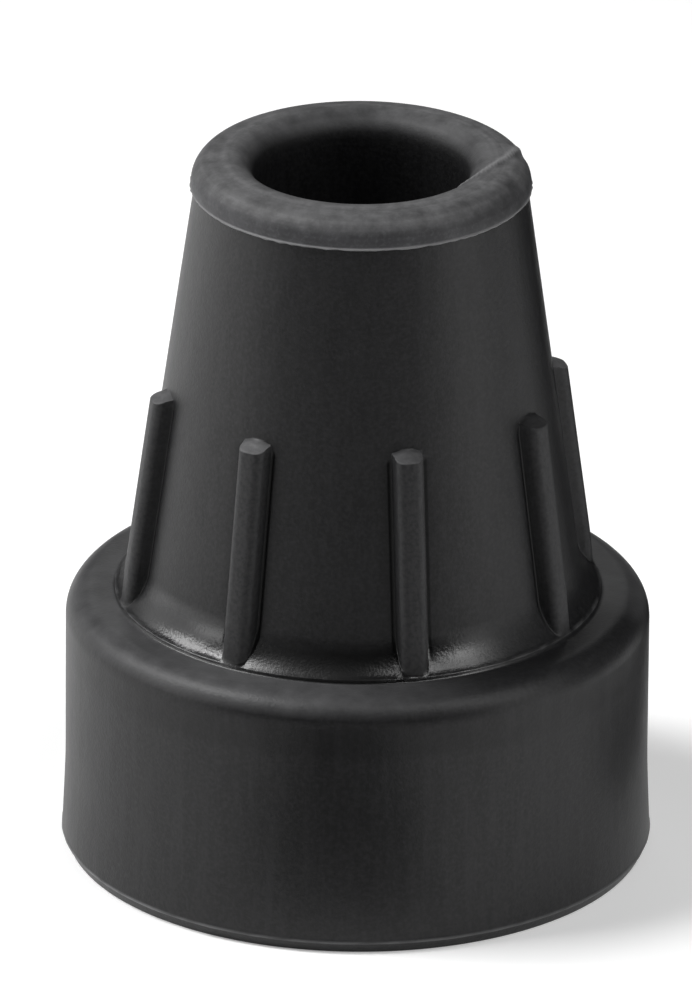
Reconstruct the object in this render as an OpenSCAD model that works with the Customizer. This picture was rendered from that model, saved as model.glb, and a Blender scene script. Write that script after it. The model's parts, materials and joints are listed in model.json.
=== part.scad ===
// Push-on rubber tip for the end of a cane or crutch tube: a broad round foot, a ribbed cone above it and a
// rolled collar round a blind bore. The tip stands on its sole at z = 0 and the bore opens upwards.
// All sizes are in millimetres.

/* [Foot] */
// Diameter of the foot at its widest, just above the sole
foot_d = 50; // [44:0.5:60]
// Height of the foot's flat shoulder above the floor
foot_h = 22.8; // [16:0.1:30]
// How far the foot flares out towards the sole, on the radius
flare = 0.25; // [0:0.05:1]
// Height above the floor where the flare begins
flare_h = 7; // [3:0.5:12]
// Height of the chamfer round the sole's edge
edge_h = 0.8; // [0.3:0.1:2]
// How far that chamfer comes in, on the radius
edge_in = 0.45; // [0.2:0.05:1.5]
// Rounding between the foot's wall and its shoulder
shoulder_r = 2.4; // [1:0.1:4]

/* [Cone] */
// Diameter of the cone where its straight side would meet the shoulder
cone_d = 38.3; // [34:0.1:42]
// Diameter of the cone just under the collar
neck_d = 28; // [26:0.1:34]
// How far the cone's foot flares out past its straight side, on the radius
seat_out = 1.4; // [1:0.05:2.5]
// Height of the low step in which the flared foot ends on the shoulder
seat_rise = 0.35; // [0.05:0.05:0.5]
// Radius of the hollow curve at the cone's foot
hollow_r = 5; // [2.5:0.1:8]

/* [Collar] */
// Overall height of the tip
height = 62.2; // [54:0.1:75]
// Outer diameter of the collar
collar_d = 28.6; // [27:0.1:36]
// Height of the collar, from its lower edge to the lip
collar_h = 2.7; // [2:0.1:6]
// Rounding of the collar's outer edge
collar_r = 2.2; // [1:0.1:2.6]
// Rounding of the lip into the bore
lip_r = 2.2; // [1:0.1:2.6]
// Height of the fine step where the lip's moulding core ended
core_step = 0.12; // [0.05:0.01:0.3]

/* [Bore] */
// Diameter of the bore, which is the tube size the tip fits
bore_d = 18; // [16:0.5:22]
// Depth of the bore below the lip
bore_depth = 45; // [30:0.5:50]
// Chamfer round the bore's floor
floor_edge = 1; // [0.4:0.1:2]

/* [Ribs] */
// Number of ribs round the cone
rib_count = 8; // [4:1:12]
// Width of a rib where it leaves the cone
rib_w = 2.64; // [1.6:0.02:4]
// Height of a rib above the cone
rib_h = 1.5; // [0.8:0.05:2.5]
// How far each side of a rib leans in over its height
rib_draft = 0.15; // [0.05:0.05:0.5]
// Rounding along a rib's outer edges
rib_edge_r = 0.5; // [0.2:0.05:0.6]
// Height above the floor of a rib's pointed upper end
rib_top = 42.3; // [32:0.1:52]
// Length of a rib's pointed nose, from the end of its outer face to its tip
rib_nose = 0.9; // [0.8:0.1:3]
// Turn of the first rib from the front, which is the -Y side
rib_turn = 14; // [0:1:45]

/* [Sole] */
// Number of ring grooves in the sole
groove_count = 3; // [1:1:4]
// Radius of the innermost ring groove, at its middle
groove_first = 7.5; // [6:0.1:9]
// Distance from one ring groove to the next
groove_pitch = 5.5; // [4:0.1:6]
// Width of a ring groove at the sole
groove_w = 2.2; // [1:0.1:3]
// Depth of the ring grooves
groove_depth = 1.5; // [0.5:0.1:3]
// How far a groove's sides lean in over its depth
groove_draft = 0.3; // [0.1:0.05:0.5]

/* [Hidden] */
$fn = 96;
rubber = [0.13, 0.13, 0.14];
foot_r = foot_d / 2;
wall_r = foot_r - flare;
neck_z = height - collar_h;
floor_z = height - bore_depth;
bore_r = bore_d / 2;
outer_r = collar_d / 2;
step_z = height - core_step;
seat_r = cone_d / 2 + seat_out;
seat = [seat_r, foot_h + seat_rise];

// The cone's side as a line from the neck, with its direction down the slope and its outward normal
slope = atan((cone_d / 2 - neck_d / 2) / (neck_z - foot_h));
neck = [neck_d / 2, neck_z];
down = [sin(slope), -cos(slope)];
out = [cos(slope), sin(slope)];

// The hollow curve touches the cone's side and ends on the step's crisp edge
edge_out = (seat - neck) * out;
edge_down = (seat - neck) * down;
hollow_down = edge_down - sqrt(pow(hollow_r, 2) - pow(hollow_r - edge_out, 2));
hollow_start = neck + hollow_down * down;
hollow_mid = hollow_start + hollow_r * out;
cone_foot = neck + edge_down * down;

// A rib is a bar along the cone's side. Its lower end is buried in the foot. Its nose is an end cone whose
// axis runs a little under the cone's side. That cone is wide enough to take in the rib's whole section, and
// it comes out of the cone's side at the rib's top.
buried = 1.6;
nose_sink = 0.35;
nose_r = rib_w / 2 + rib_h + nose_sink;
nose_steep = rib_nose / rib_h;
rib_base = foot_h - buried;
rib_foot = neck_d / 2 + (neck_z - rib_base) * tan(slope);
rib_len = (rib_top - rib_base) / cos(slope);

// Cuts run this far past the faces they open
past = 1;

// A quarter disc, used to round a square corner
module quarter(r) {
    intersection() {
        circle(r);
        square(r);
    }
}

// Half of the tip's section, with square corners
module outline() {
    polygon([
        [0, 0], [foot_r - edge_in, 0], [foot_r, edge_h], [wall_r, flare_h],
        [wall_r, foot_h - shoulder_r], [wall_r - shoulder_r, foot_h - shoulder_r],
        [wall_r - shoulder_r, foot_h], [seat_r, foot_h], seat, hollow_start, neck, [outer_r, neck_z],
        [outer_r, step_z - collar_r], [outer_r - collar_r, step_z - collar_r], [outer_r - collar_r, height],
        [bore_r + lip_r, height], [bore_r + lip_r, height - lip_r], [bore_r, height - lip_r],
        [bore_r, floor_z + floor_edge], [bore_r - floor_edge, floor_z], [0, floor_z]
    ]);
}

// One ring groove of the sole, in section
module groove(r) {
    half = groove_w / 2;
    polygon([
        [r - half, -past], [r + half, -past], [r + half, 0], [r + half - groove_draft, groove_depth],
        [r - half + groove_draft, groove_depth], [r - half, 0]
    ]);
}

// The part of the hollow curve's disc that bites into the cone's foot
module hollow() {
    intersection() {
        translate(hollow_mid) circle(hollow_r);
        polygon([hollow_mid, hollow_start, cone_foot, seat]);
    }
}

// The finished half section
module section() {
    difference() {
        union() {
            outline();
            translate([wall_r - shoulder_r, foot_h - shoulder_r]) quarter(shoulder_r);
            translate([outer_r - collar_r, step_z - collar_r]) quarter(collar_r);
            translate([bore_r + lip_r, height - lip_r]) mirror([1, 0]) quarter(lip_r);
        }
        hollow();
        for (i = [0 : groove_count - 1]) groove(groove_first + i * groove_pitch);
    }
}

// A rib's own section: its root lies inside the cone, and its outer face is at y = rib_h
module rib_section() {
    root = rib_w / 2 + rib_draft;
    top = rib_w / 2 - rib_draft;
    inner = top - rib_edge_r;
    low = rib_h - rib_edge_r;
    polygon([
        [-root, -rib_h], [root, -rib_h], [top, low], [inner, low], [inner, rib_h], [-inner, rib_h],
        [-inner, low], [-top, low]
    ]);
    translate([inner, low]) quarter(rib_edge_r);
    translate([-inner, low]) mirror([1, 0]) quarter(rib_edge_r);
}

// One rib on the -Y side, standing along the cone's slope, with a pointed upper end
module rib() {
    translate([0, -rib_foot, rib_base]) rotate([-slope, 0, 0]) intersection() {
        mirror([0, 1, 0]) linear_extrude(rib_len + rib_nose) rib_section();
        translate([0, nose_sink, 0]) rotate_extrude() polygon([
            [0, -past], [nose_r, -past], [nose_r, rib_len - nose_steep * (nose_r - nose_sink)],
            [0, rib_len + nose_steep * nose_sink]
        ]);
    }
}

module rubber_tip() {
    color(rubber) union() {
        rotate_extrude() section();
        for (i = [0 : rib_count - 1]) rotate([0, 0, rib_turn + i * 360 / rib_count]) rib();
    }
}

rubber_tip();
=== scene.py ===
# %% [markdown]
# # A rubber tip for a cane
# This lesson dresses a push-on rubber cane tip: a broad round foot, a cone with eight ribs and a rolled collar round
# a blind bore. The real tip is one piece of black rubber from one mould. It could be built from a foot, a cone and
# loose ribs, but then a seam would show at each joint, so here it is one mesh with one finish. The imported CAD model
# comes in first as a fixed frame, because it says how large the tip is and where it stands.

# %% The frame
import json
import math

import bpy
import numpy as np
from mathutils import Matrix, Vector


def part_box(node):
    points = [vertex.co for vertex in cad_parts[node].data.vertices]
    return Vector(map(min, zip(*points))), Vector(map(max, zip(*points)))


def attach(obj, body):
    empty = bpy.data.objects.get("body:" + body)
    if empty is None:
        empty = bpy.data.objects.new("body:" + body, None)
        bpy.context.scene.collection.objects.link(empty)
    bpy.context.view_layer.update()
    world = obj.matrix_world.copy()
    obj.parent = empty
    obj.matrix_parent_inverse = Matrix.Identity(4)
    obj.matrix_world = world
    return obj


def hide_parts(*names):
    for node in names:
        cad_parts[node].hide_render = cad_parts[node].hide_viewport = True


MM = 0.001
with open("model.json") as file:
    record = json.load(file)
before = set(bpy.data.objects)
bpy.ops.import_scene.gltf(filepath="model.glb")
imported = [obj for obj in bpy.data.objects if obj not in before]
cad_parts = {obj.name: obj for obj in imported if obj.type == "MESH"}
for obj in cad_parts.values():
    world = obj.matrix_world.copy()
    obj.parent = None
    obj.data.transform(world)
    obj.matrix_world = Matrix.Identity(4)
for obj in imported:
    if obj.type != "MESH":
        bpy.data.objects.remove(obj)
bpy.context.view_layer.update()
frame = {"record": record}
low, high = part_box("rubber_tip")
foot_r = (high.x - low.x) / 2 / MM
height = (high.z - low.z) / MM
bore = next(mount for mount in frame["record"]["mounts"] if mount["name"] == "bore")
bore_r = bore["dims"]["r_mm"]
print("foot radius", round(foot_r, 3), "height", round(height, 3), "bore radius", bore_r)

# %% [markdown]
# ## The driving sizes
# A mould is cut from a drawing with a handful of sizes. They could be measured off the CAD mesh wherever one is
# needed. Here the overall ones come from the frame, and the others are written once, in millimetres. Every later shape
# takes them from these names, so a change in one place carries through.

# %% Sizes of the foot, the cone and the collar
flare, flare_top = 0.25, 7.0
wall_r = foot_r - flare
shoulder_z, shoulder_round = 22.8, 2.4
cone_r, neck_r = 19.15, 14.0
seat_flare, seat_rise, hollow_round = 1.4, 0.35, 5.0
seat_r, seat_z = cone_r + seat_flare, shoulder_z + seat_rise
collar_h, collar_r, collar_round = 2.7, 14.3, 2.2
core_step, lip_round, bore_depth = 0.12, 2.2, 45.0
neck_z, core_z, floor_z = height - collar_h, height - core_step, height - bore_depth
core_r = collar_r - collar_round
slope = math.atan((cone_r - neck_r) / (neck_z - shoulder_z))
down = np.array([math.sin(slope), -math.cos(slope)])
out = np.array([math.cos(slope), math.sin(slope)])
neck = np.array([neck_r, neck_z])
print("the cone leans in by", round(math.degrees(slope), 2), "degrees")

# %% Sizes of the ribs
rib_count, rib_turn = 8, math.radians(14)
rib_w, rib_h, rib_draft, rib_round = 2.64, 1.5, 0.12, 0.75
rib_top, rib_nose, rib_buried = 42.3, 0.9, 1.6
rib_base = shoulder_z - rib_buried
rib_foot = neck_r + (neck_z - rib_base) * math.tan(slope)
rib_len = (rib_top - rib_base) / math.cos(slope)
rib_turns = rib_turn + np.arange(rib_count) * 2 * math.pi / rib_count
print("each rib is", round(rib_len, 2), "mm long down the cone")

# %% [markdown]
# ## A half section with soft corners
# Nothing that leaves a rubber mould has a knife edge: even its crisp corners are a little round, and that is where
# light catches. A Bevel modifier could round a finished mesh. A rounded section is chosen here, because each corner
# then has a radius of its own, and the rows of points fall where the surface turns.

# %% A path with rounded corners
fine_turn, coarse_turn, large_round = 6.5, 45, 1

def rounded_path(corners):
    """Each corner is (r, z, radius, step). The corner is replaced by an arc of its radius that touches both sides, so
    the arc starts radius * tan(turn / 2) before the corner. The straight run after it is cut into steps."""
    at = np.array([corner[:2] for corner in corners], float)
    arcs = [at[:1]]
    for i in range(1, len(at) - 1):
        a, b = at[i - 1] - at[i], at[i + 1] - at[i]
        a, b = a / np.linalg.norm(a), b / np.linalg.norm(b)
        turn = math.pi - math.acos(max(-1.0, min(1.0, float(a @ b))))
        radius = corners[i][2]
        if radius == 0 or turn < 1e-4:
            arcs.append(at[i : i + 1])
            continue
        reach = radius * math.tan(turn / 2)
        middle = at[i] + (a + b) / np.linalg.norm(a + b) * math.hypot(radius, reach)
        from_a, from_b = at[i] + a * reach - middle, at[i] + b * reach - middle
        count = 1 + math.ceil(math.degrees(turn) / (fine_turn if radius > large_round else coarse_turn))
        share = np.linspace(0, 1, count + 1)[:, None]
        weight_a, weight_b = np.sin((1 - share) * turn), np.sin(share * turn)
        arcs.append(middle + (weight_a * from_a + weight_b * from_b) / math.sin(turn))
    arcs.append(at[-1:])
    path = [arcs[0]]
    for i in range(1, len(arcs)):
        start, end = path[-1][-1], arcs[i][0]
        count = max(1, math.ceil(np.linalg.norm(end - start) / corners[i - 1][3]))
        path.append(start + (end - start) * np.linspace(0, 1, count + 1)[1:-1, None])
        path.append(arcs[i])
    return np.concatenate(path)

right_angle = [(0, 0, 0, 5), (10, 0, 2, 5), (10, 10, 0, 5)]
print("a right angle rounded by 2 mm, with its two sides, takes", len(rounded_path(right_angle)), "points")

# %% [markdown]
# ## The corners of the section
# The section runs from the middle of the sole, out over its grooves, up the wall of the foot and the cone, over the
# collar and down the bore to its floor. At the cone's foot a hollow curve flares out and ends on a low crisp step,
# where the steel of the mould met. It could be traced from points of a drawing. Corners named by the driving sizes are
# chosen, because they stay true when a size changes.

# %% Sole and foot
groove_half, groove_lean, groove_depth = 1.1, 0.3, 1.5
sole_trim, parting_z, parting_step = 0.45, 1.02, 0.07
corners = [(0, 0, 0, 3)]
for groove_r in (7.5, 13.0, 18.5):
    inside, outside = groove_r - groove_half, groove_r + groove_half
    corners += [(inside, 0, 0.15, 1), (inside + groove_lean, groove_depth, 0.2, 1)]
    corners += [(outside - groove_lean, groove_depth, 0.2, 1), (outside, 0, 0.15, 2)]
# The sole's edge is trimmed, and the wall starts with a fine step where the mould's lower part met
corners += [(foot_r - sole_trim, 0, 0.2, 0.3), (foot_r - parting_step, parting_z - 0.18, 0, 0.04)]
corners += [(foot_r, parting_z, 0, 0.2), (foot_r, parting_z + 0.38, 0, 1.5), (wall_r, flare_top, 60, 1.5)]
# The shoulder is flat up to the seat, and its rows draw together there
corners += [(wall_r, shoulder_z, shoulder_round, 1.0), (seat_r + 0.4, shoulder_z, 0, 0.2)]
corners += [(seat_r + 0.1, shoulder_z, 0.3, 0.1)]
print(len(corners), "corners up to the seat")

# %% The hollow curve and the rows of the ribs' noses
seat = np.array([seat_r, seat_z]) - neck
seat_out, seat_down = float(seat @ out), float(seat @ down)
hollow_reach = math.sqrt(hollow_round**2 - (hollow_round - seat_out) ** 2)
angles = np.linspace(math.asin(hollow_reach / hollow_round), 0, 15)
hollow_down = seat_down - hollow_reach + hollow_round * np.sin(angles)
hollow_out = hollow_round * (1 - np.cos(angles))
hollow = neck + np.outer(hollow_down, down) + np.outer(hollow_out, out)
corners += [(*hollow[0], 0.16, 1)] + [(*point, 0, 1) for point in hollow[1:-1]] + [(*hollow[-1], 0, 0.9)]
# A nose turns within a millimetre, so the rows from just below it to just above it are 0.07 mm apart
for s, step in ((rib_len - rib_nose - 0.6, 0.07), (rib_len + 0.25, 1.0)):
    corners.append((rib_foot - s * math.sin(slope), rib_base + s * math.cos(slope), 0, step))
print("the hollow reaches", round(float(hollow[-1][1] - seat_z), 2), "mm up the cone")

# %% Collar, lip and bore
# The collar's lower rim stands back by 0.06 mm, and the lip rises by core_step inside its own edge
rim_r, rim_z, bore_edge = collar_r - 0.06, neck_z + 0.12, 1.0
corners += [(neck_r, neck_z, 0.05, 0.1), (rim_r, neck_z, 0, 0.02), (rim_r, rim_z, 0, 0.1)]
corners += [(collar_r, rim_z + 0.18, 0.3, 0.1), (collar_r, core_z, collar_round, 0.5)]
corners += [(core_r - 0.06, core_z, 0, 0.1), (core_r - 0.6, height, 0.4, 0.1), (bore_r, height, lip_round, 2.0)]
corners += [(bore_r, floor_z + bore_edge, 0.3, 0.4), (bore_r - bore_edge, floor_z, 0.3, 2.0), (0, floor_z, 0, 1)]
section = rounded_path(corners)
rows, row_z = section[:, 0], section[:, 1]
print(len(section), "rows of points from the sole to the bore's floor")

# %% [markdown]
# ## The columns round the tip
# The tip is turned work with ribs on it. A lathe would spread its columns evenly, as Blender's Spin does. The ribs
# would then be cut off wherever a column happens to fall. Here the columns near a rib keep a fixed distance from its
# middle plane, so its edges are straight lines of the mesh, and the columns between two ribs share what is left.

# %% Columns of one sector
def rib_columns():
    """Distances from the rib's middle plane. The rounded edge has them at radius * sin(angle) past the flat face, and
    the root has them at growing steps past the flank."""
    inner, top = rib_w / 2 - rib_draft - rib_round, rib_w / 2 - rib_draft
    edge = inner + rib_round * np.sin(np.radians([0, 20, 38, 54, 68, 80, 90]))
    side = np.concatenate([edge, top + np.array([0.05, 0.1, 0.16, 0.23, 0.32, 0.43, 0.58])])
    return np.concatenate([-side[::-1], [0], side])

across = rib_columns()
panel = np.linspace(0, 1, 16)[1:-1]
print(len(across), "columns on a rib and", len(panel), "between two ribs")

# %% Angles of every point
hair = 0.001

def column_angles(row_r):
    """Angle of each point. Near a rib it is asin(distance / radius of the row), and between ribs the rest is shared."""
    near = np.arcsin(across[None, :] / row_r[:, None])
    rest = 2 * math.pi / rib_count - 2 * near[:, -1:]
    sector = np.concatenate([near, near[:, -1:] + panel[None, :] * rest], 1)
    return (rib_turns[None, :, None] + sector[:, None, :]).reshape(len(row_r), -1)

on_cone = (rows > neck_r - 0.01) & (rows < seat_r + 0.41)
on_cone &= (row_z > shoulder_z - hair) & (row_z < neck_z + hair)
last_cone = np.flatnonzero(on_cone)[-1]
# Off the cone the columns keep the angles that they have at its nearer end
guide = np.where(on_cone, rows, np.where(np.arange(len(rows)) < last_cone, seat_r, neck_r))
theta = column_angles(guide)
columns = theta.shape[1]
print(columns, "columns,", int(2 * columns * (len(rows) - 2)), "triangles")

# %% [markdown]
# ## The ribs
# A rib stiffens the wall where the cane's end presses. In the mould it is a straight slot with a little draft, cut
# down the cone and ended by a pointed cutter. It could be a separate bar pushed into the cone. Here it is a height
# over the cone: the lower of the slot's own section and the cutter's nose. Taking the higher of that and the body
# makes the rib grow out of the cone and sink into its hollow foot by itself, with a small soft root.

# %% Small helpers for shapes
def ramp(value, start, end):
    """0 up to start, 1 from end on, and even between: (value - start) / (end - start), held between 0 and 1."""
    return np.clip((value - start) / (end - start), 0, 1)

def raised_line(distance, width):
    """A smooth bump across a line: exp(-(distance / width)^2)."""
    return np.exp(-((distance / width) ** 2))

def soft_max(a, b, k):
    """The higher of two surfaces, with a blend of about k where they cross: (a + b + sqrt((a - b)^2 + k^2)) / 2."""
    return (a + b + np.sqrt((a - b) ** 2 + k * k)) / 2

print("where two equal surfaces cross, a blend of 0.1 adds", float(soft_max(0.0, 0.0, 0.1)), "mm")

# %% Height of a rib
crown, foot_drop, drop_run = 0.05, 0.13, 3.5
wall_steep, gable_step, ridge_steep, gable_steep, gable_lean = 2.6, 0.1, 1.1, 2.4, 0.3
edge_blend, nose_blend, root_blend = 0.1, 0.06, 0.07

def rib_height(x, s):
    """Height over the cone's side at x across and s along the rib. The face is rib_h less crown * x^2, with a quarter
    circle at its edge, and it drops a little at its foot. The flank falls from the edge by its draft. At the nose a
    wall falls by wall_steep per mm, and a low gable runs on, as low as the nearer of its ridge and its sides. The
    rib is the soft lower one of the face with its flank and the higher of wall and gable."""
    top, low_edge = rib_w / 2 - rib_draft, rib_h - rib_round
    side = np.abs(x)
    edge = low_edge + np.sqrt(np.clip(rib_round**2 - np.clip(side - top + rib_round, 0, rib_round) ** 2, 0, None))
    edge = edge - crown * x**2 - foot_drop * ramp(s, rib_buried + drop_run, rib_buried)
    flank = low_edge - (side - top) * (rib_h + low_edge) / (2 * rib_draft)
    profile = np.where(side <= top, edge, flank)
    ahead = rib_len - s
    wall = rib_h - wall_steep * (rib_nose - ahead)
    gable = np.minimum(gable_step + ridge_steep * ahead, gable_steep * (ahead - gable_lean * side))
    return -soft_max(-profile, -soft_max(wall, gable, nose_blend), edge_blend)

print("in the middle of its face a rib is", round(float(rib_height(0.0, rib_len / 2)), 3), "mm high")

# %% [markdown]
# ## One closed surface
# The real tip has one skin, without a seam. Several meshes could be joined by a Boolean, but that leaves thin
# triangles along each joint. So the whole tip is one grid: one parameter runs along the section and the other round
# it. Each point starts on the turned body. Where a rib passes, it moves out along the rib's own normal. A narrow
# crease runs beside each rib, where the slot was cut a little deeper than the cone.

# %% Points of the body with its ribs
crease_beside, crease_w, crease_depth = 0.16, 0.21, 0.11

def turned(theta):
    """Point of the turned body: its radius points along (sin, -cos) of the angle, so angle 0 is the front."""
    radius, z = np.broadcast_to(rows[:, None], theta.shape), np.broadcast_to(row_z[:, None], theta.shape)
    return np.stack([radius * np.sin(theta), -radius * np.cos(theta), z], -1)

def with_ribs(points, theta):
    """Moves the points near each rib out along the rib's normal, by the rib's height over the body. s runs along the
    cone's side and body is the point's distance from it. The crease is a raised_line turned inwards."""
    turns = np.repeat(rib_turns, len(across) + len(panel))
    x = rows[:, None] * np.sin(theta - turns)
    depth = rows[:, None] * np.cos(theta - turns) - rib_foot
    rise = row_z[:, None] - rib_base
    s = rise * math.cos(slope) - depth * math.sin(slope)
    body = depth * math.cos(slope) + rise * math.sin(slope)
    near_rib = np.tile(np.arange(len(across) + len(panel)) < len(across), rib_count)[None, :] & on_cone[:, None]
    lift = np.where(near_rib, soft_max(rib_height(x, s), body, root_blend) - body, 0)
    crease = raised_line(np.abs(x) - rib_w / 2 - crease_beside, crease_w) * near_rib
    crease = crease * ramp(s, rib_len - 0.7, rib_len - 1.2) * ramp(row_z[:, None], seat_z + 0.8, seat_z + 2.8)
    lift = lift - crease_depth * crease
    upwards = np.full(columns, math.sin(slope))
    normal = np.stack([math.cos(slope) * np.sin(turns), -math.cos(slope) * np.cos(turns), upwards], -1)
    return points + lift[..., None] * normal[None], lift, crease

points, lift, crease = with_ribs(turned(theta), theta)
print("the ribs stand", round(float(lift.max()), 3), "mm proud")

# %% [markdown]
# ## Marks of the mould
# A rubber mould never shuts perfectly. Where its halves meet, a thin fin of rubber squeezes out and is torn off, and
# it leaves an irregular raised line: here under the collar, along the seat and just above the sole. The core that
# forms the bore leaves a fine step in the lip, and a weld line crosses the collar where two streams of rubber met.
# Most of these marks are a tenth of a millimetre high, and the tallest are twice that. A bump map could suggest them,
# but it has no edge. They are moved in the mesh itself, because their edges catch light.

# %% Irregular lines
rng = np.random.default_rng(7)

def ragged(angle, waves, shift):
    """A periodic irregular value between about -1 and 1: cosines of whole wave numbers, each with its own phase."""
    phases = rng.uniform(0, 2 * math.pi, len(waves)) + shift
    total = sum(np.cos(wave * angle + phase) for wave, phase in zip(waves, phases))
    return total / math.sqrt(len(waves))

def torn_fin(theta, waves, shift, mean, rough, least, most):
    """Height of a torn fin round the tip: mean + rough * a ragged value, held between least and most."""
    return np.clip(mean + rough * ragged(theta, waves, shift), least, most)

print("one width from its middle, a raised line is", round(float(raised_line(1.0, 1.0)), 3), "of its height")

# %% The weld line
weld_start, weld_swing, weld_far, weld_lip = 60, 51, 9.0, 0.8

def beside_weld(theta):
    """Distance from the weld line in mm. The line leaves the lip at weld_start degrees from the front and swings on by
    weld_swing degrees as the radius grows: weld_start + weld_swing * share of the way to the power 0.75. It crosses
    the collar at a slant, so the distance is 0.4 of the arc."""
    radius = rows[:, None]
    way = np.clip((radius - bore_r - weld_lip) / (collar_r - bore_r - weld_lip), 0, 1)
    away = 0.4 * radius * (theta - np.radians(weld_start + weld_swing * way**0.75))
    on_collar = (row_z[:, None] > neck_z + 0.6) & (radius > bore_r + 0.3)
    return np.where(on_collar, np.clip(away, -weld_far, weld_far), weld_far)

weld_side = beside_weld(theta)
print("the weld line passes", int((np.abs(weld_side) < 0.2).sum()), "points")

# %% Marks on the surface
def section_normals():
    """Outward normal of the section at each row: the direction to the next row, turned a quarter clockwise."""
    along = np.gradient(section, axis=0)
    along /= np.linalg.norm(along, axis=1)[:, None]
    return np.stack([along[:, 1], -along[:, 0]], -1)

def mould_marks(theta, weld_side):
    """How far each point moves along the section's normal: the sum of three torn fins, the weld with a trough beside
    it, and a shallow groove that the core left round the lip at the left front."""
    z, r = row_z[:, None], rows[:, None]
    outside = (np.arange(len(rows)) < np.argmax(row_z >= height - hair))[:, None]
    collar_fin = raised_line(z - neck_z - 0.06, 0.09) * outside * (r > neck_r + 0.1)
    collar_fin = collar_fin * torn_fin(theta, np.arange(5, 90, 3), 0.0, mean=0.14, rough=0.045, least=0.08, most=0.24)
    sole_fin = raised_line(z - parting_z, 0.1) * (r > foot_r - 0.2)
    sole_fin = sole_fin * torn_fin(theta, np.arange(3, 60, 4), 1.0, mean=0.07, rough=0.03, least=0.02, most=0.13)
    seat_fin = raised_line(np.hypot(r - seat_r, z - seat_z), 0.09)
    seat_fin = seat_fin * torn_fin(theta, np.arange(7, 80, 3), 2.0, mean=0.05, rough=0.05, least=0, most=0.15)
    weld = raised_line(weld_side, 0.22) * 0.1 - raised_line(weld_side + 0.6, 0.4) * 0.09
    from_left_front = (theta + 0.9 + math.pi) % (2 * math.pi) - math.pi
    core_groove = raised_line(r - core_r - 0.25, 0.22) * (z > core_z - 0.1) * raised_line(from_left_front, 0.75)
    return collar_fin + sole_fin + seat_fin + weld - 0.07 * core_groove

marks = mould_marks(theta, weld_side)
normal_r, normal_z = section_normals()[:, :1], section_normals()[:, 1:]
direction = [normal_r * np.sin(theta), -normal_r * np.cos(theta), np.broadcast_to(normal_z, theta.shape)]
points = points + marks[..., None] * np.stack(direction, -1)
print("the tallest mark is", round(float(marks.max()), 3), "mm")

# %% Faces of the grid
def grid_faces(row_count, column_count):
    """Quads between neighbouring rows and columns, which close round the tip, and a fan of triangles at either pole."""
    index = np.arange(row_count * column_count).reshape(row_count, column_count)
    nxt = np.roll(index, -1, axis=1)
    quads = np.stack([index[:-1], nxt[:-1], nxt[1:], index[1:]], -1).reshape(-1, 4)
    first, last = row_count * column_count, row_count * column_count + 1
    start_fan = np.stack([np.full(column_count, first), nxt[0], index[0]], -1)
    end_fan = np.stack([np.full(column_count, last), index[-1], nxt[-1]], -1)
    return quads, np.concatenate([start_fan, end_fan])

# The first and the last row lie on the axis. One point each, a pole, stands for them.
off_axis = slice(1, len(rows) - 1)
quads, fans = grid_faces(*points[off_axis].shape[:2])
vertices = np.concatenate([points[off_axis].reshape(-1, 3), [[0, 0, 0], [0, 0, floor_z]]])
print(len(quads), "quads and", len(fans), "fan triangles")

# %% [markdown]
# ## Normals that know which face is large
# On the real tip a flat face stays flat right up to its rounded edge. Smooth shading averages the faces that meet at
# a point, and between a wide face and a narrow edge that bends the light far into the flat. A Weighted Normal modifier
# could mend it. Here each face is weighted by its area while the mesh is made, because the finish below needs the same
# normals to know which way each place looks.

# %% Normal of each point
def area_normals(points, faces):
    """Each face adds the cross product of its diagonals, which is as long as its area is large, to its corners."""
    a, b = points[faces[:, 2]] - points[faces[:, 0]], points[faces[:, -1]] - points[faces[:, 1]]
    cross = np.cross(a, b)
    total = np.zeros_like(points)
    for corner in range(faces.shape[1]):
        for axis in range(3):
            total[:, axis] += np.bincount(faces[:, corner], cross[:, axis], len(points))
    return total

normals = area_normals(vertices, quads) + area_normals(vertices, fans)
normals /= np.linalg.norm(normals, axis=1)[:, None]
print("the middle of the sole looks along", normals[-2].round(3).tolist())

# %% The mesh
def into_scene(name, data):
    """Makes an object from a mesh, a lamp or a camera and links it to the scene."""
    piece = bpy.data.objects.new(name, data)
    bpy.context.scene.collection.objects.link(piece)
    return piece

def make_mesh(name, points, faces, normals):
    """Puts points in mm, faces and one normal per point into a smooth mesh in metres."""
    mesh = bpy.data.meshes.new(name)
    mesh.from_pydata((points * MM).tolist(), [], faces)
    mesh.shade_smooth()
    mesh.normals_split_custom_set_from_vertices(normals.tolist())
    return into_scene(name, mesh)

tip = make_mesh("moulded_tip", vertices, quads.tolist() + fans.tolist(), normals)
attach(tip, "root")
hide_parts("rubber_tip")
print(tip.name, len(tip.data.polygons), "faces")

# %% [markdown]
# ## Where each finish lies
# Use and the mould have left their own finish in some places: scuffed ribs and a polished hollow at the cone's foot.
# Other places take painted light: a lighter colour on faces that look up, partly dust and partly painted top light,
# painted highlights along the fins and the weld, and painted shade in the creases, at the hollow's front and on the
# collar's right front. An image could be painted for them. Here the shape already knows these places, so each becomes
# one number per point of the mesh, and the material reads it by name.

# %% Angles, ribs and the hollow
def per_point(values, at_poles=0.0):
    """Numbers on the grid as one number per point of the mesh: its rows off the axis, then both poles."""
    return np.append(values[off_axis].ravel(), [at_poles, at_poles])

def store(name, values):
    """Keeps one number per point of the tip under a name, which an Attribute node reads."""
    tip.data.attributes.new(name, "FLOAT", "POINT").data.foreach_set("value", values.astype(np.float32))

grid_turn = (np.degrees(theta) + 180) % 360 - 180
turn = per_point(grid_turn)
on_rib = per_point(ramp(lift, 0.05, 0.35))
in_hollow = ramp(row_z, hollow[-1][1], hollow[-1][1] - 1.6) * on_cone * (row_z > shoulder_z + 0.05)
in_hollow = per_point(np.repeat(in_hollow[:, None], columns, 1)) * (1 - on_rib)
store("rib_face", on_rib)
print("points in the hollow:", int((in_hollow > 0.5).sum()))
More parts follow.
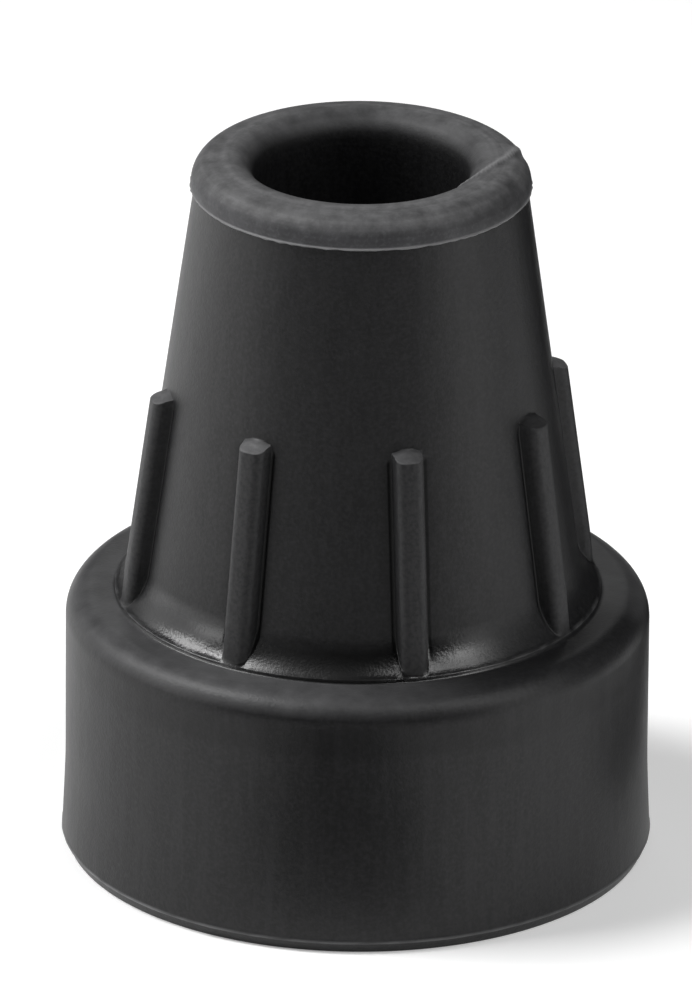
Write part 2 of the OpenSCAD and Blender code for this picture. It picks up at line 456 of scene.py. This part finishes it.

# %% Shine, painted top light and painted shade
# All angles here are degrees from the front, to the right. The hollow is polished on both sides of its front, which
# lies in shade and is dull. The right of the front lies in the cone's shadow, so the painted top light is mostly taken
# away there: painted shadow.
front = raised_line(turn + 12, 17)
right_side, left_side = ramp(turn, 27, 39) * ramp(turn, 150, 135), ramp(turn, -58, -70) * ramp(turn, -150, -135)
store("shiny_hollow", in_hollow * (1 - 0.85 * front) * (1 - right_side) * (1 - left_side))
# Painted shade: the crease beside each rib and the front of the hollow are painted near black below.
store("crease", np.clip(per_point(crease) + 0.9 * raised_line(turn, 26) * in_hollow, 0, 1))
# Faces that look up get a lighter colour below, partly dust and partly painted top light.
dust_and_top_light = ramp(normals[:, 2], 0.3, 0.75)
in_cone_shadow = ramp(turn, -8, 28) * ramp(turn, 88, 74) * (vertices[:, 2] < neck_z - 1)
store("dust_and_top_light", dust_and_top_light * (1 - in_hollow) * (1 - 0.9 * in_cone_shadow))
print("points that face up:", int((dust_and_top_light > 0.9).sum()))

# %% Darker parts of the collar, painted highlights on the fins, and the weld
# The collar is darker on the outer rim of its right front, which faces away from the lamps on the left: painted shade.
# It is darker at its rear too. Painted highlights lie along the fins where their edges catch light: full on the collar,
# fainter at the seat, and along the sole they fade from the left to the front, as the light comes from the left.
outer_rim = ramp(np.hypot(vertices[:, 0], vertices[:, 1]), 12.2, 13.4)
darker_collar_rim_and_rear = 0.7 * raised_line(turn - 62, 20) * outer_rim + 0.6 * raised_line((turn - 12) % 360 - 180, 22)
store("darker_collar_rim_and_rear", np.clip(darker_collar_rim_and_rear, 0, 1))
bright = np.where(row_z > neck_z - 1, 1.0, np.where(row_z > shoulder_z, 0.25, 0.0))[:, None]
bright = bright + (row_z < flare_top)[:, None] * (0.5 + 0.5 * ramp(grid_turn, -20, -70))
store("fin_highlight", per_point(bright * ramp(marks, 0, 0.08)))
store("weld_side", per_point(np.abs(weld_side), weld_far))
print("points on a torn edge:", int((marks > 0.04).sum()))

# %% [markdown]
# ## Moulded black rubber
# Natural rubber for tips is filled with soot and pressed in a steel mould. It swallows nearly all light, and what the
# eye sees is mostly the broad, weak sheen of its surface, with a chalky bloom where it has been dry for long. One flat
# dark colour would look like paint. So a dark base takes thin coats of colour, one over another, each laid only where
# its masks allow, and the sheen follows the same masks.

# %% Small helpers for materials
def linear(hex_colour):
    """An sRGB hex colour as linear light: c / 12.92 up to 0.04045, and ((c + 0.055) / 1.055) ^ 2.4 above it."""
    levels = [int(hex_colour[i : i + 2], 16) / 255 for i in (1, 3, 5)]
    return tuple(c / 12.92 if c <= 0.04045 else ((c + 0.055) / 1.055) ** 2.4 for c in levels) + (1.0,)

def add_node(tree, kind, inputs=None, give=0, **settings):
    """Adds a node, sets it up, fills its inputs and gives one of its outputs. An input is named by its socket's name
    or number. The output of another node is linked to it, and anything else becomes its value."""
    node = tree.nodes.new(kind)
    for name, value in settings.items():
        setattr(node, name, value)
    for socket, value in (inputs or {}).items():
        if isinstance(value, bpy.types.NodeSocket):
            tree.links.new(value, node.inputs[socket])
        else:
            node.inputs[socket].default_value = value
    return node.outputs[give]

def new_material(name, *pieces):
    """A material with an empty node tree, worn by the pieces. It gives the tree and the input of its surface."""
    material = bpy.data.materials.new(name)
    material.use_nodes = True
    material.node_tree.nodes.clear()
    for piece in pieces:
        piece.data.materials.append(material)
    return material.node_tree, material.node_tree.nodes.new("ShaderNodeOutputMaterial").inputs["Surface"]

print("mid grey #808080 is", round(linear("#808080")[0], 3), "in linear light")

# %% Coats of colour
def overlap(tree, masks):
    """Where masks overlap, as their product. A mask is an output, a number, or (output, low, high, at_low, at_high),
    which turns low..high of the output into at_low..at_high and holds it there beyond."""
    result = None
    for mask in masks:
        if isinstance(mask, tuple):
            names = ("Value", "From Min", "From Max", "To Min", "To Max")
            mask = add_node(tree, "ShaderNodeMapRange", dict(zip(names, mask)))
        if result is not None:
            mask = add_node(tree, "ShaderNodeMath", {0: result, 1: mask}, operation="MULTIPLY", use_clamp=True)
        result = mask
    return result

def coats(tree, under, layers):
    """Lays coats over a colour. A coat is (colour, mask, mask, ...), and where its masks overlap, their product is
    its share in the mix with what lies under it."""
    for colour, *masks in layers:
        over = linear(colour) if isinstance(colour, str) else colour
        under = add_node(tree, "ShaderNodeMix", {0: overlap(tree, masks), 6: under, 7: over}, 2, data_type="RGBA")
    return under

tree, surface = new_material("moulded_rubber", tip)
print("the tip wears", tip.data.materials[0].name)

# %% Masks from the mesh and from places
stored = ("dust_and_top_light", "rib_face", "shiny_hollow", "fin_highlight", "darker_collar_rim_and_rear", "weld_side", "crease")
up, rib_face, shiny, torn, darker_collar, weld_away, painted_crease_shade = (
    add_node(tree, "ShaderNodeAttribute", give="Fac", attribute_name=name) for name in stored
)
place = add_node(tree, "ShaderNodeTexCoord", give="Object")
level = add_node(tree, "ShaderNodeSeparateXYZ", {"Vector": place}, "Z")
flat = add_node(tree, "ShaderNodeVectorMath", {0: place, 1: (1, 1, 0)}, operation="MULTIPLY")
from_axis = add_node(tree, "ShaderNodeVectorMath", {0: flat}, "Value", operation="LENGTH")
on_collar = overlap(tree, [(level, (neck_z - 0.02) * MM, (neck_z + 0.04) * MM, 0, 1)])
on_wall = overlap(tree, [(level, (shoulder_z - 2.5) * MM, (shoulder_z - 0.5) * MM, 1, 0)])
off_lip = (from_axis, (bore_r + 0.1) * MM, (bore_r + 2.2) * MM, 0, 1)
under_shoulder = (level, (shoulder_z - 5.4) * MM, (shoulder_z - 4.6) * MM, 0, 0.6)
print(len(tree.nodes), "nodes for the masks")

# %% Patterns in real sizes
# Patches of bloom are 2.2 mm wide, blots 0.9 mm and specks of dust 0.35 mm. The grain of the mould's steel is nearer
# to 0.05 mm, too fine to show from here, so it is drawn 0.22 mm wide. Rings run round the axis, 0.5 mm apart, as the
# lathe left them in the steel. Streaks stand upright, 14 times as long as wide, as the tip slid out of the mould.
rings_at = add_node(tree, "ShaderNodeCombineXYZ", {"X": from_axis, "Z": level})
streaks_at = add_node(tree, "ShaderNodeMapping", {"Vector": place, "Scale": (1, 1, 1 / 14)})
kinds = [(place, 2.2, 4, 0.6), (place, 0.9, 3, 0.6), (place, 0.35, 2, 0.5), (place, 0.22, 2, 0.5)]
kinds += [(rings_at, 0.5, 2, 0.5), (streaks_at, 0.8, 3, 0.6)]
noises = []
for at, size_mm, detail, rough in kinds:
    inputs = {"Vector": at, "Scale": 1 / (size_mm * MM), "Detail": detail, "Roughness": rough}
    noises.append(add_node(tree, "ShaderNodeTexNoise", inputs, "Fac"))
patches, blots, specks, grain, rings, streaks = noises
print(len(noises), "patterns")

# %% Colour of the rubber
# 4c4c4d on faces that look up is partly dust and partly painted top light; #606061 on the ribs' upward faces is painted
# top light.
body = coats(tree, linear("#111112"), [
    ("#19191a", (streaks, 0.3, 0.7, 0, 1)),
    ("#262627", (specks, 0.4, 0.75, 0, 0.62)),
    ("#060607", under_shoulder, (patches, 0.3, 0.7, 0.5, 1), on_wall),
    ("#28282a", on_wall, (streaks, 0.5, 0.75, 0, 0.2)),
    ("#2c2c2d", rib_face, (specks, 0.35, 0.65, 0.4, 1)),
    ("#4c4c4d", up, (patches, 0.3, 0.7, 0.55, 1)),
    ("#606061", rib_face, up, (blots, 0.35, 0.65, 0.5, 1)),
])
# The bloom's #666667 on faces that look up is painted top light, and its #1e1e1f on the rim of the collar's right front
# is painted shade; at the rear that coat only makes the bloom darker.
bloom = coats(tree, linear("#444446"), [
    ("#666667", up),
    ("#222223", (patches, 0.3, 0.6, 0.5, 0)),
    ("#7c7c7e", (specks, 0.5, 0.8, 0, 0.2)),
    ("#1e1e1f", darker_collar, (patches, 0.3, 0.7, 0.75, 0.35)),
    ("#1c1c1d", (rings, 0.35, 0.65, 0.22, 0)),
    ("#1c1c1d", (blots, 0.35, 0.6, 0.22, 0)),
])
# 7e7e7f on the fins and the weld is a painted highlight where their raised edges catch light.
on_weld = overlap(tree, [(weld_away, 0.07, 0.22, 0.85, 0)])
torn = add_node(tree, "ShaderNodeMath", {0: torn, 1: on_weld}, operation="MAXIMUM", use_clamp=True)
# 050505 paints shade into the creases beside the ribs and at the front of the hollow.
body = coats(tree, body, [(bloom, on_collar, off_lip), ("#7e7e7f", torn, 0.9), ("#050505", painted_crease_shade)])
print(len(tree.nodes), "nodes with the colours")

# %% Gloss and grain of the rubber
# The bloom on the collar and the scuffed ribs are duller, and the polished hollow is the glossiest place
dull_ribs = overlap(tree, [rib_face, 0.6])
chalky = add_node(tree, "ShaderNodeMath", {0: on_collar, 1: dull_ribs}, operation="MAXIMUM", use_clamp=True)
uneven = overlap(tree, [(patches, 0.3, 0.7, 0, 0.15)])
dull = add_node(tree, "ShaderNodeMath", {0: chalky, 1: uneven}, operation="ADD", use_clamp=True)
roughness = overlap(tree, [(shiny, 0, 1, overlap(tree, [(dull, 0, 1.15, 0.42, 0.56)]), 0.22)])
more_sheen = overlap(tree, [shiny, 0.34])
wall_sheen = overlap(tree, [(on_wall, 0, 1, 0.24, 0.3)])
sheen = add_node(tree, "ShaderNodeMath", {0: wall_sheen, 1: more_sheen}, operation="ADD", use_clamp=True)
fine = add_node(tree, "ShaderNodeBump", {"Height": grain, "Strength": 0.6, "Distance": 0.03 * MM})
waves = add_node(tree, "ShaderNodeBump", {"Height": patches, "Normal": fine, "Strength": 0.5, "Distance": 0.08 * MM})
skin = {"Base Color": body, "Roughness": roughness, "Specular IOR Level": sheen, "Normal": waves, "IOR": 1.5}
tree.links.new(add_node(tree, "ShaderNodeBsdfPrincipled", skin), surface)
print("the rubber has", len(tree.nodes), "nodes")

# %% [markdown]
# ## A pale floor
# A product is photographed on a sheet of matt white paper, which gives the eye an even tone without any gloss, lit so
# that it clips to white. More light would do that here, but it would also wash out the rubber. So the floor's own glow
# is added only for rays from the camera, from a reflection or through glass. The floor looks white, keeps the tip's
# shadow and throws no extra light on it.

# %% The floor
def flat_sheet(name, corners):
    """A flat sheet with four corners in metres. It faces the side from which they run counterclockwise."""
    mesh = bpy.data.meshes.new(name)
    mesh.from_pydata(corners, [], [(0, 1, 2, 3)])
    return into_scene(name, mesh)

def level_corners(low, high, level):
    """The corners of a level rectangle from the point low to the point high: both, and their mixed pairs between."""
    return [(*low, level), (high[0], low[1], level), (*high, level), (low[0], high[1], level)]

floor_half, glow_strength = 1.5, 0.225
floor = flat_sheet("studio_floor", level_corners((-floor_half, -floor_half), (floor_half, floor_half), 0))
tree, surface = new_material("matt_white_paper", floor)
ray = add_node(tree, "ShaderNodeLightPath").node.outputs
seen = ray["Is Camera Ray"]
for kind in ("Is Glossy Ray", "Is Transmission Ray"):
    seen = add_node(tree, "ShaderNodeMath", {0: seen, 1: ray[kind]}, operation="ADD", use_clamp=True)
white = add_node(tree, "ShaderNodeBsdfDiffuse", {"Color": linear("#f4f4f4")})
glow = add_node(tree, "ShaderNodeEmission", {"Strength": overlap(tree, [seen, glow_strength])})
tree.links.new(add_node(tree, "ShaderNodeAddShader", {0: white, 1: glow}), surface)
print("the floor is", 2 * floor_half, "m wide")

# %% [markdown]
# ## Black flags
# Glossy black things mirror the white paper round them, so a photographer stands black cards and lays black cloths
# round them, and their reflections draw the dark edges. Real ones stay out of the picture, and that makes them large.
# Small ones close to the tip draw the same edges, but they would stand in the way. Felt is pressed from loose wool,
# whose depth gives the eye a black without a sheen. This one is black only for rays that come from a reflection, and
# clear for all others.

# %% A card behind, a cloth in front and a cloth to the right
lift_off = 0.0005
card_near, card_far, card_top = (0.043, 0.015), (0.06, 0.21), 0.075
card = [(*card_near, 0), (*card_far, 0), (*card_far, card_top), (*card_near, card_top)]
flag = flat_sheet("black_flag", card)
cloth = flat_sheet("front_cloth", level_corners((-0.024, -0.11), (0.014, -0.035), lift_off))
side_cloth = flat_sheet("side_cloth", level_corners((0.036, -0.004), (0.06, 0.09), lift_off))
tree, surface = new_material("black_felt", flag, cloth, side_cloth)
mirrored = add_node(tree, "ShaderNodeLightPath", give="Is Glossy Ray")
clear = add_node(tree, "ShaderNodeBsdfTransparent")
black = add_node(tree, "ShaderNodeBsdfDiffuse", {"Color": linear("#0a0a0a")})
tree.links.new(add_node(tree, "ShaderNodeMixShader", {0: mirrored, 1: clear, 2: black}), surface)
print("the card is", card_top, "m tall")

# %% [markdown]
# ## Lamps
# The studio was lit by soft boxes: strong ones from the left, which draw the long highlight down the cone, weaker ones
# from the right and the front, and one behind that lights the shoulder and the lip. Two cards close to the tip put a
# pale strip along either edge. One world light would be simpler, but it would leave the rubber flat. Each lamp was
# rendered alone first, and their strengths were then weighed against each other.

# %% World and lamps
world = bpy.data.worlds.new("studio")
bpy.context.scene.world = world
world.use_nodes = True
world.node_tree.nodes["Background"].inputs["Strength"].default_value = 0.0

def lamp(name, place, aim, width, depth, watts):
    """A rectangular area lamp of width by depth metres at place, which points at aim."""
    data = bpy.data.lights.new(name, "AREA")
    data.shape, data.size, data.size_y, data.energy = "RECTANGLE", width, depth, watts
    piece = into_scene(name, data)
    piece.location = place
    piece.rotation_euler = (Vector(aim) - Vector(place)).to_track_quat("-Z", "Y").to_euler()
    return piece

middle = (0, 0, 0.03)
lamps = [
    lamp("left_softbox", (-0.675, 0.153, 0.615), middle, 0.28, 0.28, 2.2),
    lamp("left_high_softbox", (-0.5, -0.05, 0.8), middle, 0.28, 0.28, 4.9),
    lamp("right_softbox", (0.54, -0.108, 0.74), middle, 0.28, 0.28, 0.8),
    lamp("right_fill_softbox", (0.6, -0.35, 0.58), middle, 0.28, 0.28, 1.0),
    lamp("right_front_softbox", (0.3, -0.34, 0.8), middle, 0.28, 0.28, 1.1),
    lamp("back_softbox", (0, 0.78, 0.48), middle, 0.4, 0.35, 0.45),
    lamp("left_low_softbox", (-0.74, -0.2, 0.28), middle, 0.3, 0.3, 0.6),
    lamp("left_card", (-0.14, 0.015, 0.06), (0, 0.015, 0.06), 0.21, 0.11, 0.084),
    lamp("right_card", (0.13, -0.06, 0.065), (0, 0, 0.065), 0.08, 0.12, 0.05),
]
print(len(lamps), "lamps,", round(sum(piece.data.energy for piece in lamps), 2), "watts together")

# %% [markdown]
# ## The camera
# The tip was photographed from the front with a long lens, about 23 degrees above the floor. A camera could be turned
# by hand until the picture looks right. Here its height, its distance and its focal length were fitted to the tip's
# outlines, and the function below puts it where those numbers say.

# %% Camera
film_w, picture_middle, picture_h, axis_height = 36.0, (346, 500), 1000, 30

def photo_camera(elevation, distance, focal, centre, roll):
    """A camera that looks at a point axis_height mm up the axis. focal is in pixels of a picture picture_h high, and
    centre is the picture point that this point falls on. The camera moves sideways by centre's distance from the
    picture's middle, times distance / focal."""
    lift, turn = math.radians(elevation), math.radians(roll)
    back = Vector((0, -math.cos(lift), math.sin(lift)))
    right, up = Vector((1, 0, 0)), Vector((0, math.sin(lift), math.cos(lift)))
    side, top = math.cos(turn) * right + math.sin(turn) * up, math.cos(turn) * up - math.sin(turn) * right
    du, dv = centre[0] - picture_middle[0], centre[1] - picture_middle[1]
    data = bpy.data.cameras.new("photo_camera")
    data.sensor_width, data.lens = film_w, focal / picture_h * film_w
    data.clip_start, data.clip_end = 0.05, 20.0
    place = Vector((0, 0, axis_height)) + distance * back - (du * side - dv * top) * distance / focal
    camera = into_scene("photo_camera", data)
    camera.matrix_world = Matrix.LocRotScale(place * MM, Matrix((side, top, back)).transposed().to_quaternion(), None)
    bpy.context.scene.camera = camera
    return camera

camera = photo_camera(elevation=23.305, distance=1451.5, focal=17167, centre=(358.5, 508.2), roll=0.46)
bpy.context.scene.view_settings.view_transform = "Standard"
print("camera at", [round(c, 3) for c in camera.location])

# %% [markdown]
# ## Last step
# The view layer is brought up to date, so the pieces stand where the cells above put them.

# %% Finish
bpy.context.view_layer.update()
